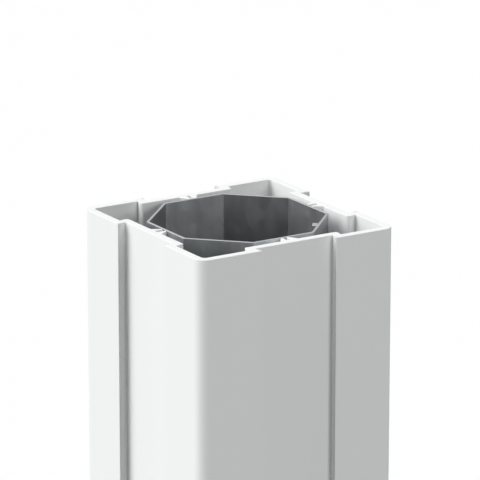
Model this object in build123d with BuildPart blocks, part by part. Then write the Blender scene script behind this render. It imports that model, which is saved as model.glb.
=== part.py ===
import os
from math import cos, isclose, radians, tan

from build123d import *

os.makedirs("parts", exist_ok=True)

# Hollow extruded post, square in plan, with a shallow undercut channel down the middle of each face,
# and a thin eight-sided metal core that runs its whole length. All sizes are in millimetres.
# It stands on its lower cut end, with its axis on Z and its faces square to X and Y.
post_width = 101.6
post_length = 1219.2
wall = 3.8
corner_radius = 5.7

# Channel: a narrow mouth in the face and a wider floor behind it
channel_mouth = 38.0
channel_depth = 4.5
undercut_angle = 14.0
mouth_edge_radius = 0.4

# Webs join the face to the channel floor. Towards two opposite corners the web keeps the wall's
# thickness and turns a soft knee. Towards the other two its inner side splays to a sharp knee.
soft_knee_radius = 1.6
splayed_web = 4.35
sharp_knee_radius = 0.5

# Prongs: a pair inside each channel floor, which steady the core
prong_height = 4.15
prong_gap = 2.1
prong_tip_width = 0.95
prong_root_width = 3.65
prong_tip_radius = 0.25

# Core: a rolled tube that fills the room between the prongs, closed by one folded seam inside the
# side that faces the +X -Y corner
core_sides = 8
core_clearance = 0.25
core_wall = 1.2
core_bend_radius = 0.8
seam_width = 4.5
seam_fold_height = 2.6
seam_edge_height = 2.0
seam_offset = 3.25
seam_edge_radius = 0.4

# Distances from the post's axis, outwards
face = post_width / 2
face_inside = face - wall
floor = face - channel_depth
floor_inside = floor - wall
prong_tip = floor_inside - prong_height
core_flat = prong_tip - core_clearance
core_inside = core_flat - core_wall

# Distances from the middle line of a face, along it
undercut = tan(radians(undercut_angle))
mouth_edge = channel_mouth / 2
floor_edge = mouth_edge + channel_depth * undercut
soft_web = wall / cos(radians(undercut_angle))
soft_root = mouth_edge + wall * undercut + soft_web
soft_knee = soft_root + channel_depth * undercut
sharp_root = mouth_edge + wall * undercut + splayed_web
sharp_knee = sharp_root - channel_depth * undercut
prong_inner = prong_gap / 2
prong_outer_tip = prong_inner + prong_tip_width
prong_outer_root = prong_inner + prong_root_width

# The +Y face is drawn. Mirrored over the diagonal it gives the +X face, and the pair turned half
# round gives the other two, so the webs are alike at opposite corners.
diagonal = Plane(origin=(0, 0, 0), z_dir=(1, -1, 0))
pairs_of_faces = 2

with BuildSketch() as channels:
    with BuildLine():
        Polyline(
            (-mouth_edge, face),
            (-floor_edge, floor),
            (floor_edge, floor),
            (mouth_edge, face),
            close=True,
        )
    make_face()
    mirror(about=diagonal)

# Back of the channel floor, with its two webs and its prongs, as one filled outline
with BuildSketch() as channel_backs:
    with BuildLine():
        Polyline(
            (-soft_root, face_inside),
            (-soft_knee, floor_inside),
            (-prong_outer_root, floor_inside),
            (-prong_outer_tip, prong_tip),
            (-prong_inner, prong_tip),
            (-prong_inner, floor_inside),
            (prong_inner, floor_inside),
            (prong_inner, prong_tip),
            (prong_outer_tip, prong_tip),
            (prong_outer_root, floor_inside),
            (sharp_knee, floor_inside),
            (sharp_root, face_inside),
            close=True,
        )
    make_face()
    fillet(channel_backs.vertices().group_by(Axis.Y)[1].sort_by(Axis.X)[-1], sharp_knee_radius)
    fillet(channel_backs.vertices().group_by(Axis.Y)[1].sort_by(Axis.X)[0], soft_knee_radius)
    fillet(channel_backs.vertices().group_by(Axis.Y)[0], prong_tip_radius)
    mirror(about=diagonal)

with BuildPart() as post_shell:
    with BuildSketch() as post_section:
        RectangleRounded(post_width, post_width, corner_radius)
        RectangleRounded(2 * face_inside, 2 * face_inside, corner_radius - wall, mode=Mode.SUBTRACT)
        with PolarLocations(0, pairs_of_faces):
            add(channel_backs.sketch)
            add(channels.sketch, mode=Mode.SUBTRACT)
        mouth_corners = post_section.vertices().filter_by(
            lambda v: isclose(max(abs(v.X), abs(v.Y)), face, abs_tol=1e-4)
            and isclose(min(abs(v.X), abs(v.Y)), mouth_edge, abs_tol=1e-4)
        )
        fillet(mouth_corners, mouth_edge_radius)
    extrude(amount=post_length)

# Core, drawn with a flat on each axis
side_turn = 360 / core_sides

with BuildSketch() as core_bore:
    RegularPolygon(core_inside, core_sides, major_radius=False, rotation=side_turn / 2)
    fillet(core_bore.vertices(), core_bend_radius)

# Seam: the sheet's edges folded together, thicker at the fold than at the free edge. It is drawn
# inside the +X flat, and turned with it by one side towards -Y.
seam_fold_side = seam_width / 2 - seam_offset
seam_free_side = -seam_width / 2 - seam_offset

with BuildSketch() as seam:
    with BuildLine():
        Polyline(
            (core_inside, seam_fold_side),
            (core_inside - seam_fold_height, seam_fold_side),
            (core_inside - seam_edge_height, seam_free_side),
            (core_inside, seam_free_side),
            close=True,
        )
    make_face()
    fillet(seam.vertices().sort_by(Axis.X)[:2], seam_edge_radius)

with BuildPart() as core_tube:
    with BuildSketch() as core_section:
        RegularPolygon(core_flat, core_sides, major_radius=False, rotation=side_turn / 2)
        fillet(core_section.vertices(), core_bend_radius + core_wall)
        add(core_bore.sketch, mode=Mode.SUBTRACT)
        add(seam.sketch, rotation=-side_turn)
    extrude(amount=post_length)

post_shell.part.label = "post_shell"
export_step(post_shell.part, "parts/post_shell.step")
core_tube.part.label = "core_tube"
export_step(core_tube.part, "parts/core_tube.step")
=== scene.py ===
import math

import bpy
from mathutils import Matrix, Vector


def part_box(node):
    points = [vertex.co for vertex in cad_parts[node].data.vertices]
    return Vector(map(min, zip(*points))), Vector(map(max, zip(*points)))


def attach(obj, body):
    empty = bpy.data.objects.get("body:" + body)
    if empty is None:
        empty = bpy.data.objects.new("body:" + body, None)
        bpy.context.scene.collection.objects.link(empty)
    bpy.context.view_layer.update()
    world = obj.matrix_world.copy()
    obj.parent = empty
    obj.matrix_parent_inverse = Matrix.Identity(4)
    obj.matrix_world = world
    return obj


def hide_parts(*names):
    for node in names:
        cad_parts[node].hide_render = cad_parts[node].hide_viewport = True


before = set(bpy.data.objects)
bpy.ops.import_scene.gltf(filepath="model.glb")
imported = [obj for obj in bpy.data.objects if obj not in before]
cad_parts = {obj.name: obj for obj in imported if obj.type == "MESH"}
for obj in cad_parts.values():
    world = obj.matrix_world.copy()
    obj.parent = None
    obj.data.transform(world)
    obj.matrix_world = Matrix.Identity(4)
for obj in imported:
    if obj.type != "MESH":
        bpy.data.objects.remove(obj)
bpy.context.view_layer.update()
shellLow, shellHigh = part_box("post_shell")
postLength = shellHigh.z - shellLow.z
postHalf = shellHigh.x


class Wire:  # one socket of a node tree, which can be added to, multiplied and so on
    def __init__(self, tree, socket=None):
        self.tree = tree
        self.socket = socket

    def node(self, kind, settings=None, inputs=None, out=0):
        made = self.tree.nodes.new(kind)
        for name, value in (settings or {}).items():
            setattr(made, name, value)
        for name, value in (inputs or {}).items():
            if isinstance(value, Wire):
                self.tree.links.new(value.socket, made.inputs[name])
            else:
                made.inputs[name].default_value = value
        return Wire(self.tree, made.outputs[out] if made.outputs else None)

    def output(self, name):  # another output of the same node
        return Wire(self.tree, self.socket.node.outputs[name])

    def maths(self, operation, *values):
        return self.node("ShaderNodeMath", {"operation": operation}, dict(enumerate(values)))

    def __add__(self, other):
        return self.maths("ADD", self, other)

    def __radd__(self, other):
        return self.maths("ADD", other, self)

    def __sub__(self, other):
        return self.maths("SUBTRACT", self, other)

    def __rsub__(self, other):
        return self.maths("SUBTRACT", other, self)

    def __mul__(self, other):
        return self.maths("MULTIPLY", self, other)

    def __rmul__(self, other):
        return self.maths("MULTIPLY", other, self)

    def __abs__(self):
        return self.maths("ABSOLUTE", self)

    def __gt__(self, other):
        return self.maths("GREATER_THAN", self, other)

    def __lt__(self, other):
        return self.maths("LESS_THAN", self, other)


def larger(one, two):
    return one.maths("MAXIMUM", one, two)


def smaller(one, two):
    return one.maths("MINIMUM", one, two)


def newMaterial(name):
    material = bpy.data.materials.new(name)
    material.use_nodes = True
    material.node_tree.nodes.clear()
    return material, Wire(material.node_tree)


def finishMaterial(wire, surface):
    wire.node("ShaderNodeOutputMaterial", inputs={"Surface": surface})


def addObject(name, data):
    added = bpy.data.objects.new(name, data)
    bpy.context.scene.collection.objects.link(added)
    return added


def plainMesh(source):  # an object's mesh with its modifiers worked in
    graph = bpy.context.evaluated_depsgraph_get()
    return bpy.data.meshes.new_from_object(source.evaluated_get(graph))


# Both pieces are one section cut to length, so one node tree makes them. A section is closed
# outlines whose points carry the radius of their corner, with the material always on the left.
def sectionTree():
    tree = bpy.data.node_groups.new("cutToLength", "GeometryNodeTree")
    tree.interface.new_socket("Section", in_out="INPUT", socket_type="NodeSocketGeometry")
    for name, kind in (("Length", "NodeSocketFloat"), ("Edge Break", "NodeSocketFloat"),
                       ("Arc Steps", "NodeSocketInt"), ("Sharp Angle", "NodeSocketFloat"),
                       ("Material", "NodeSocketMaterial")):
        tree.interface.new_socket(name, in_out="INPUT", socket_type=kind)
    tree.interface.new_socket("Piece", in_out="OUTPUT", socket_type="NodeSocketGeometry")
    wire = Wire(tree)
    given = wire.node("NodeGroupInput")
    length = given.output("Length")
    edgeBreak = given.output("Edge Break")
    weldDistance = 0.000001

    def vector(x, y, z):
        return wire.node("ShaderNodeCombineXYZ", inputs={"X": x, "Y": y, "Z": z})

    def scaled(direction, by):
        return wire.node("ShaderNodeVectorMath", {"operation": "SCALE"}, {0: direction, "Scale": by})

    rounded = wire.node("GeometryNodeFilletCurve", {"mode": "POLY"}, {
        "Curve": given.output("Section"), "Count": given.output("Arc Steps"),
        "Radius": wire.node("GeometryNodeInputRadius")})
    inwards = wire.node("ShaderNodeVectorMath", {"operation": "CROSS_PRODUCT"}, {
        0: (0, 0, 1), 1: wire.node("GeometryNodeInputTangent")})
    kept = {"data_type": "FLOAT_VECTOR", "domain": "POINT"}
    marked = wire.node("GeometryNodeStoreNamedAttribute", kept, {
        "Geometry": rounded, "Name": "inwards", "Value": inwards})
    inset = wire.node("GeometryNodeSetPosition", inputs={
        "Geometry": marked, "Offset": scaled(inwards, edgeBreak)})

    # walls, raised from the lower edge in three steps, then drawn in at both ends to break the edges
    walls = wire.node("GeometryNodeCurveToMesh", inputs={"Curve": marked})
    edges = None
    for rise in (edgeBreak, length - 2.0 * edgeBreak, edgeBreak):
        inputs = {"Mesh": walls, "Offset": vector(0.0, 0.0, rise), "Offset Scale": 1.0}
        if edges is not None:
            inputs["Selection"] = edges
        walls = wire.node("GeometryNodeExtrudeMesh", {"mode": "EDGES"}, inputs, out="Mesh")
        edges = walls.output("Top")
    into = wire.node("GeometryNodeInputNamedAttribute", {"data_type": "FLOAT_VECTOR"}, {
        "Name": "inwards"})
    height = wire.node("ShaderNodeSeparateXYZ", inputs={
        "Vector": wire.node("GeometryNodeInputPosition")}, out="Z")
    ends = abs(height - 0.5 * length) > 0.5 * length - 0.5 * edgeBreak
    walls = wire.node("GeometryNodeSetPosition", inputs={
        "Geometry": walls, "Selection": ends, "Offset": scaled(into, edgeBreak)})

    cap = wire.node("GeometryNodeFillCurve", {"mode": "TRIANGLES"}, {"Curve": inset})
    lowerCap = wire.node("GeometryNodeFlipFaces", inputs={"Mesh": cap})
    upperCap = wire.node("GeometryNodeTransform", inputs={
        "Geometry": cap, "Translation": vector(0.0, 0.0, length)})
    joined = wire.node("GeometryNodeJoinGeometry")
    for part in (wire.node("GeometryNodeFlipFaces", inputs={"Mesh": walls}), lowerCap, upperCap):
        tree.links.new(part.socket, joined.socket.node.inputs[0])
    closed = wire.node("GeometryNodeMergeByDistance", inputs={
        "Geometry": joined, "Distance": weldDistance})
    cleared = wire.node("GeometryNodeRemoveAttribute", inputs={"Geometry": closed, "Name": "inwards"})
    smooth = wire.node("GeometryNodeSetShadeSmooth", {"domain": "FACE"}, {
        "Geometry": cleared, "Shade Smooth": True})
    turned = wire.node("GeometryNodeInputMeshEdgeAngle")
    flatter = wire.node("FunctionNodeCompare", {"data_type": "FLOAT", "operation": "LESS_THAN"}, {
        "A": turned, "B": given.output("Sharp Angle")})
    creased = wire.node("GeometryNodeSetShadeSmooth", {"domain": "EDGE"}, {
        "Geometry": smooth, "Shade Smooth": flatter})
    finished = wire.node("GeometryNodeSetMaterial", inputs={
        "Geometry": wire.node("GeometryNodeRealizeInstances", inputs={"Geometry": creased}),
        "Material": given.output("Material")})
    wire.node("NodeGroupOutput", inputs={"Piece": finished})
    return tree


cutToLength = sectionTree()


def makePiece(name, outlines, sizes, material):
    data = bpy.data.curves.new(name + "Section", "CURVE")
    data.dimensions = "3D"
    for outline in outlines:
        spline = data.splines.new("POLY")
        spline.points.add(len(outline) - 1)
        for point, (x, y, radius) in zip(spline.points, outline):
            point.co = (x, y, 0, 1)
            point.radius = radius
        spline.use_cyclic_u = True
    section = addObject(name + "Section", data)
    nodes = section.modifiers.new("cutToLength", "NODES")
    nodes.node_group = cutToLength
    values = {
        "Length": sizes["length"],
        "Edge Break": sizes["edgeBreak"],
        "Arc Steps": sizes["arcSteps"],
        "Sharp Angle": math.radians(sizes["sharpAngle"]),
        "Material": material,
    }
    for socket in cutToLength.interface.items_tree:
        if socket.name in values:
            nodes[socket.identifier] = values[socket.name]
    mesh = plainMesh(section)
    section.modifiers.remove(nodes)
    bpy.data.objects.remove(section)
    mesh.name = name
    mesh.materials.clear()
    mesh.materials.append(material)

    raw = addObject(name + "Raw", mesh)
    weights = raw.modifiers.new("flatFacesStayFlat", "WEIGHTED_NORMAL")
    weights.keep_sharp = True
    done = plainMesh(raw)
    bpy.data.objects.remove(raw)
    print(name, "made,", len(done.polygons), "faces")
    return addObject(name, done)


def turnedBy(points, degrees):
    c, s = math.cos(math.radians(degrees)), math.sin(math.radians(degrees))
    return [(x * c - y * s, x * s + y * c, radius) for x, y, radius in points]


shell = {
    "length": postLength,
    "half": postHalf,         # from the axis to a face
    "wall": 0.0038,
    "cornerRadius": 0.0057,
    "mouth": 0.038,           # width of a channel in the face
    "depth": 0.0045,          # of a channel
    "undercut": 14.0,         # degrees that a channel's sides lean outwards
    "mouthRadius": 0.0004,
    "softKneeRadius": 0.0016,
    "splayedWeb": 0.00435,
    "sharpKneeRadius": 0.0005,
    "prongHeight": 0.00415,
    "prongGap": 0.0021,
    "prongTip": 0.00095,
    "prongRoot": 0.00365,
    "prongRadius": 0.00025,
    "edgeBreak": 0.00012,     # of the cut ends
    "arcSteps": 8,
    "sharpAngle": 25.0,       # degrees from which an edge is shaded as sharp
}


def shellOutlines():
    undercut = math.radians(shell["undercut"])
    lean = math.tan(undercut)
    face = shell["half"]
    inner = face - shell["wall"]
    bottom = face - shell["depth"]
    behind = bottom - shell["wall"]
    tip = behind - shell["prongHeight"]
    mouth = shell["mouth"] / 2
    wide = mouth + shell["depth"] * lean
    softRoot = mouth + shell["wall"] * lean + shell["wall"] / math.cos(undercut)
    softKnee = softRoot + shell["depth"] * lean
    sharpRoot = mouth + shell["wall"] * lean + shell["splayedWeb"]
    sharpKnee = sharpRoot - shell["depth"] * lean
    gap = shell["prongGap"] / 2
    prongTip = gap + shell["prongTip"]
    prongRoot = gap + shell["prongRoot"]
    prongRadius = shell["prongRadius"]
    cornerRadius = shell["cornerRadius"] - shell["wall"]

    # each side of the outer outline starts at a corner, and the +Y side runs from +X to -X
    outer = []
    for side in range(4):
        outer += turnedBy([
            (face, face, shell["cornerRadius"]),
            (mouth, face, shell["mouthRadius"]),
            (wide, bottom, 0.0),
            (-wide, bottom, 0.0),
            (-mouth, face, shell["mouthRadius"]),
        ], 90 * side)
    channelBack = [
        (sharpRoot, inner, 0.0),
        (sharpKnee, behind, shell["sharpKneeRadius"]),
        (prongRoot, behind, 0.0),
        (prongTip, tip, prongRadius),
        (gap, tip, prongRadius),
        (gap, behind, 0.0),
        (-gap, behind, 0.0),
        (-gap, tip, prongRadius),
        (-prongTip, tip, prongRadius),
        (-prongRoot, behind, 0.0),
        (-softKnee, behind, shell["softKneeRadius"]),
        (-softRoot, inner, 0.0),
    ]
    # the +X side mirrors the +Y side, and the other two are these turned half round
    halfRound = [(y, x, radius) for x, y, radius in reversed(channelBack)]
    halfRound += [(inner, inner, cornerRadius), *channelBack, (-inner, inner, cornerRadius)]
    return [outer, list(reversed(halfRound + turnedBy(halfRound, 180)))]


core = {
    "length": postLength,
    "sides": 8,
    "acrossFlats": 0.0762,
    "wall": 0.0012,
    "bendRadius": 0.0008,     # inside a bend
    "seamSide": -45.0,        # degrees from +X of the side that holds the seam
    "seamFold": (-0.0010, 0.0026),  # place along that side and height of the fold
    "seamFree": (-0.0055, 0.0020),  # the same of the free edge
    "seamRadius": 0.0004,
    "edgeBreak": 0.00008,     # of the cut ends
    "arcSteps": 4,
    "sharpAngle": 25.0,       # degrees from which an edge is shaded as sharp
}


def coreOutlines():
    turn = 360 / core["sides"]
    outside = core["acrossFlats"] / 2
    inside = outside - core["wall"]
    toCorner = math.tan(math.radians(turn / 2))
    foldAlong, foldHeight = core["seamFold"]
    freeAlong, freeHeight = core["seamFree"]
    outer, inner = [], []
    for side in range(core["sides"]):
        angle = core["seamSide"] + side * turn
        if side == 0:
            inner += turnedBy([
                (inside, freeAlong, 0.0),
                (inside - freeHeight, freeAlong, core["seamRadius"]),
                (inside - foldHeight, foldAlong, core["seamRadius"]),
                (inside, foldAlong, 0.0),
            ], angle)
        outer += turnedBy([(outside, outside * toCorner, core["bendRadius"] + core["wall"])], angle)
        inner += turnedBy([(inside, inside * toCorner, core["bendRadius"])], angle)
    return [outer, list(reversed(inner))]


maskMargin = 0.0001  # by which a mask on the surface clears an edge or a face


# object coordinates, the distances from the post's axis along X and along Y, and a mask of the cut ends
def surfacePlaces(wire):
    coords = wire.node("ShaderNodeTexCoord", out="Object")
    x = wire.node("ShaderNodeSeparateXYZ", inputs={"Vector": coords})
    cut = abs(x.output("Z") - postLength / 2) > postLength / 2 - maskMargin
    return coords, abs(x), abs(x.output("Y")), cut


def stretched(coords, *scale):
    return coords.node("ShaderNodeVectorMath", {"operation": "MULTIPLY"}, {0: coords, 1: scale})


def grain(coords, width, length, detail):  # noise of one width across the post and one length along it
    return coords.node("ShaderNodeTexNoise", inputs={
        "Vector": stretched(coords, 1 / width, 1 / width, 1 / length),
        "Scale": 1.0, "Detail": detail}, out="Fac")


def spread(pattern, amount):  # a pattern of 0 to 1 as half the amount either way
    return amount * (pattern - 0.5)


def mixed(factor, one, two):
    return factor.node("ShaderNodeMix", {"data_type": "RGBA"}, {
        "Factor": factor, "A": one, "B": two}, out="Result")


vinyl = {
    "colour": (0.832, 0.846, 0.843, 1.0),
    "roughness": 0.36,
    "refraction": 1.53,
    "waveWidth": 0.030,       # slow waviness of the walls
    "waveLength": 0.15,
    "waveHeight": 4.0,        # times the height of a line
    "waveRoughness": 0.10,
    "lineWidth": 0.0014,      # lines drawn by the die
    "lineLength": 0.6,
    "lineDepth": 0.00004,
    "lineStrength": 0.7,
    "lineRoughness": 0.08,
    "cutColour": (0.72, 0.733, 0.731, 1.0),
    "cutRoughness": 0.58,
    "sawCentre": (0.09, -0.21, 0.0),
    "sawPitch": 0.0011,
    "sawDepth": 0.00003,
    "sawStrength": 0.6,
    "sawRoughness": 0.2,
    # painted shade: grey that darkens the undercut sides of the channels
    "undercutShadeColour": (0.55, 0.559, 0.554, 1.0),
    "undercutShade": 0.935,            # painted shade in the undercuts of the channels, most at the mouth
    "undercutShadeReach": 0.0013,      # reach of the painted shade from the mouth's edge in under the face
    "undercutRoughness": 0.25,
    "shadeSpecks": 0.33,           # more painted shade where the specks are
    "shadeSpeckWidth": 1 / 90,
    "shadeSpeckLength": 1 / 30,
}


def vinylMaterial():
    material, wire = newMaterial("whiteVinyl")
    coords, alongX, alongY, cut = surfacePlaces(wire)
    far = larger(alongX, alongY)
    near = smaller(alongX, alongY)
    face = shell["half"]
    bottom = face - shell["depth"]
    mouth = shell["mouth"] / 2
    inDepth = (far < face - 2 * maskMargin) * (far > bottom + maskMargin)
    underLip = (near > mouth - maskMargin) * (near < mouth + vinyl["undercutShadeReach"])
    shallow = (far - bottom) * (1 / shell["depth"])  # from 0 at a channel's bottom to 1 at its mouth
    # mask of the painted shade on the undercut sides of the channels
    undercutShadeMask = inDepth * underLip * shallow

    lines = grain(coords, vinyl["lineWidth"], vinyl["lineLength"], detail=3.0)
    waves = grain(coords, vinyl["waveWidth"], vinyl["waveLength"], detail=2.0)
    shadeSpecks = grain(coords, vinyl["shadeSpeckWidth"], vinyl["shadeSpeckLength"], detail=4.0)
    fromSaw = wire.node("ShaderNodeVectorMath", {"operation": "DISTANCE"}, {
        0: stretched(coords, 1, 1, 0), 1: vinyl["sawCentre"]}, out="Value")
    saw = wire.node("ShaderNodeTexNoise", {"noise_dimensions": "1D"}, {
        "W": fromSaw * (1 / vinyl["sawPitch"]), "Scale": 1.0, "Detail": 3.0}, out="Fac")

    colour = mixed(cut * saw, vinyl["colour"], vinyl["cutColour"])
    # painted shade: the undercut sides of the channels are mixed towards grey
    colour = mixed(undercutShadeMask * (vinyl["undercutShade"] + vinyl["shadeSpecks"] * shadeSpecks), colour, vinyl["undercutShadeColour"])
    satin = vinyl["roughness"] + spread(waves, vinyl["waveRoughness"])
    satin = satin + spread(lines, vinyl["lineRoughness"])
    sawn = vinyl["cutRoughness"] + spread(saw, vinyl["sawRoughness"])
    roughness = satin + cut * (sawn - satin) + vinyl["undercutRoughness"] * undercutShadeMask
    drawn = wire.node("ShaderNodeBump", inputs={
        "Strength": vinyl["lineStrength"], "Distance": vinyl["lineDepth"],
        "Height": (lines + vinyl["waveHeight"] * waves) * (1 - cut)})
    bump = wire.node("ShaderNodeBump", inputs={
        "Strength": vinyl["sawStrength"], "Distance": vinyl["sawDepth"],
        "Height": saw * cut, "Normal": drawn})
    finishMaterial(wire, wire.node("ShaderNodeBsdfPrincipled", inputs={
        "Base Color": colour, "Roughness": roughness, "IOR": vinyl["refraction"], "Normal": bump}))
    return material


steel = {
    "dark": (0.22, 0.231, 0.241, 1.0),
    "light": (0.50, 0.516, 0.530, 1.0),
    "tone": 0.27,             # from dark to light
    "metallic": 0.95,
    "roughness": 0.40,
    "relief": 0.00003,        # depth of the streaks, crystals and fine grain
    "reliefStrength": 0.25,
    "paintedLightSides": 0.64,          # painted light: lighter tone of the sides square to the post
    "squareSideMargin": 0.0003,  # from a bend
    "squareSideRoughness": -0.04,
    "streaks": 0.22,          # left by the rolls, as a share of the tone
    "streakWidth": 0.0026,
    "streakLength": 0.35,
    "streakRoughness": 0.06,
    "clouds": 0.12,           # dull patches, as a share of the tone
    "cloudWidth": 0.05,
    "cloudLength": 0.125,
    "cloudRoughness": 0.08,
    "crystals": 0.08,         # zinc crystals, as a share of the tone
    "crystalSize": 0.0035,
    "crystalStretch": 0.6,    # their width as a share of their length
    "crystalRelief": 0.2,
    "crystalRoughness": 0.05,
    "frayed": 0.06,           # fine grain, as a share of the tone
    "frayedWidth": 1 / 260,
    "frayedRelief": 0.3,
    "rim": (0.36, 0.367, 0.372, 1.0),  # of the cut ends
    "rimCover": 0.75,
    "rimSpread": 0.5,         # of that cover, with the fine grain
    "rimRoughness": 0.15,     # added on the cut ends
}


def steelMaterial():
    material, wire = newMaterial("zincSteel")
    coords, alongX, alongY, cut = surfacePlaces(wire)
    halfSide = core["acrossFlats"] / 2 * math.tan(math.radians(180 / core["sides"]))
    # sides square to the post, which get painted light
    paintedLightSides = smaller(alongX, alongY) < halfSide - steel["squareSideMargin"]

    streaks = grain(coords, steel["streakWidth"], steel["streakLength"], detail=3.0)
    clouds = grain(coords, steel["cloudWidth"], steel["cloudLength"], detail=4.0)
    frayed = grain(coords, steel["frayedWidth"], steel["frayedWidth"], detail=3.0)
    crystals = wire.node("ShaderNodeTexVoronoi", {"feature": "F1"}, {
        "Vector": stretched(coords, 1, 1, steel["crystalStretch"]),
        "Scale": 1 / steel["crystalSize"], "Randomness": 1.0}, out="Color")
    facets = wire.node("ShaderNodeSeparateColor", inputs={"Color": crystals}, out="Red")

    # painted light on the sides square to the post
    shade = steel["tone"] + steel["paintedLightSides"] * paintedLightSides
    shade = shade + spread(streaks, steel["streaks"]) + spread(clouds, steel["clouds"])
    shade = shade + spread(facets, steel["crystals"]) + spread(frayed, steel["frayed"])
    colour = mixed(shade, steel["dark"], steel["light"])
    cover = steel["rimCover"] + spread(frayed, steel["rimSpread"])
    colour = mixed(cut * cover, colour, steel["rim"])
    roughness = steel["roughness"] + spread(facets, steel["crystalRoughness"])
    roughness = roughness + spread(clouds, steel["cloudRoughness"])
    roughness = roughness + spread(streaks, steel["streakRoughness"])
    roughness = roughness + steel["rimRoughness"] * cut + steel["squareSideRoughness"] * paintedLightSides
    bump = wire.node("ShaderNodeBump", inputs={
        "Strength": steel["reliefStrength"], "Distance": steel["relief"],
        "Height": streaks + steel["crystalRelief"] * facets + steel["frayedRelief"] * frayed})
    finishMaterial(wire, wire.node("ShaderNodeBsdfPrincipled", inputs={
        "Base Color": colour, "Metallic": steel["metallic"], "Roughness": roughness, "Normal": bump}))
    return material


for name, outlines, sizes, material, node, slot in (
    ("postShell", shellOutlines(), shell, vinylMaterial(), "post_shell", "vinyl"),
    ("coreTube", coreOutlines(), core, steelMaterial(), "core_tube", "galvanised_steel"),
):
    piece = makePiece(name, outlines, sizes, material)
    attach(piece, "root")
    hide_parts(node)
print("pieces and materials done")

camera = {
    "turn": 32.14,       # degrees from +Y towards +X
    "down": 16.08,       # degrees below level
    "distance": 1.7833,  # from the middle of the upper end
    "right": 0.00095,    # the camera's shift to its right
    "below": 0.01005,    # its shift downwards
    "lens": 300.0,
    "sensor": 36.0,
    "nearest": 0.05,
    "farthest": 200.0,
}


def directionOf(turn, up):
    turn, up = math.radians(turn), math.radians(up)
    return Vector((math.sin(turn) * math.cos(up), math.cos(turn) * math.cos(up), math.sin(up)))


def makeCamera():
    data = bpy.data.cameras.new("camera")
    data.lens = camera["lens"]
    data.sensor_width = camera["sensor"]
    data.clip_start = camera["nearest"]
    data.clip_end = camera["farthest"]
    ahead = directionOf(camera["turn"], -camera["down"])
    right = directionOf(camera["turn"] + 90.0, 0.0)
    above = right.cross(ahead)
    viewer = addObject("camera", data)
    viewer.location = Vector((0, 0, postLength)) - ahead * camera["distance"]
    viewer.location += right * camera["right"] - above * camera["below"]
    viewer.rotation_euler = ahead.to_track_quat("-Z", "Y").to_euler()
    bpy.context.scene.camera = viewer


makeCamera()
print("camera done")

# Where the light comes from, in degrees from +Y towards +X and degrees up, and its width in degrees
suns = {
    "leftHigh": {"turn": -62.0, "up": 58.0, "strength": 2.2, "width": 50.0},
    "leftLow": {"turn": -58.0, "up": 28.0, "strength": 2.2, "width": 50.0},
    "front": {"turn": 174.0, "up": 20.0, "strength": 1.02, "width": 24.0},
    "right": {"turn": 95.0, "up": 25.0, "strength": 0.3, "width": 40.0},
}
world = {"ambient": 0.10}
floor = {
    "half": 60.0,
    "seen": 0.85,     # grey as the camera sees it
    "bounced": 0.35,  # grey for the light that it throws back
}


def makeSuns():
    for name, sun in suns.items():
        data = bpy.data.lights.new(name, "SUN")
        data.energy = sun["strength"]
        data.angle = math.radians(sun["width"])
        lamp = addObject(name, data)
        lamp.rotation_euler = directionOf(sun["turn"], sun["up"]).to_track_quat("Z", "Y").to_euler()


def makeWorld():
    made = bpy.data.worlds.new("studio")
    made.use_nodes = True
    made.node_tree.nodes.clear()
    wire = Wire(made.node_tree)
    ray = wire.node("ShaderNodeLightPath")
    seen = ray.output("Is Camera Ray")
    for name in ("Is Glossy Ray", "Is Transmission Ray"):
        seen = larger(seen, ray.output(name))
    light = wire.node("ShaderNodeBackground", inputs={
        "Color": (1, 1, 1, 1), "Strength": world["ambient"] + (1 - world["ambient"]) * seen})
    wire.node("ShaderNodeOutputWorld", inputs={"Surface": light})
    bpy.context.scene.world = made


def makeFloor():
    material, wire = newMaterial("paleFloor")
    ray = wire.node("ShaderNodeLightPath", out="Is Camera Ray")
    grey = floor["bounced"] + (floor["seen"] - floor["bounced"]) * ray
    finishMaterial(wire, wire.node("ShaderNodeBsdfDiffuse", inputs={"Color": grey}))
    half = floor["half"]
    corners = [(-half, -half, 0), (half, -half, 0), (half, half, 0), (-half, half, 0)]
    mesh = bpy.data.meshes.new("floor")
    mesh.from_pydata(corners, [], [(0, 1, 2, 3)])
    mesh.materials.append(material)
    addObject("floor", mesh)


makeSuns()
makeWorld()
makeFloor()
bpy.context.scene.view_settings.view_transform = "Standard"
print("lights and floor done")
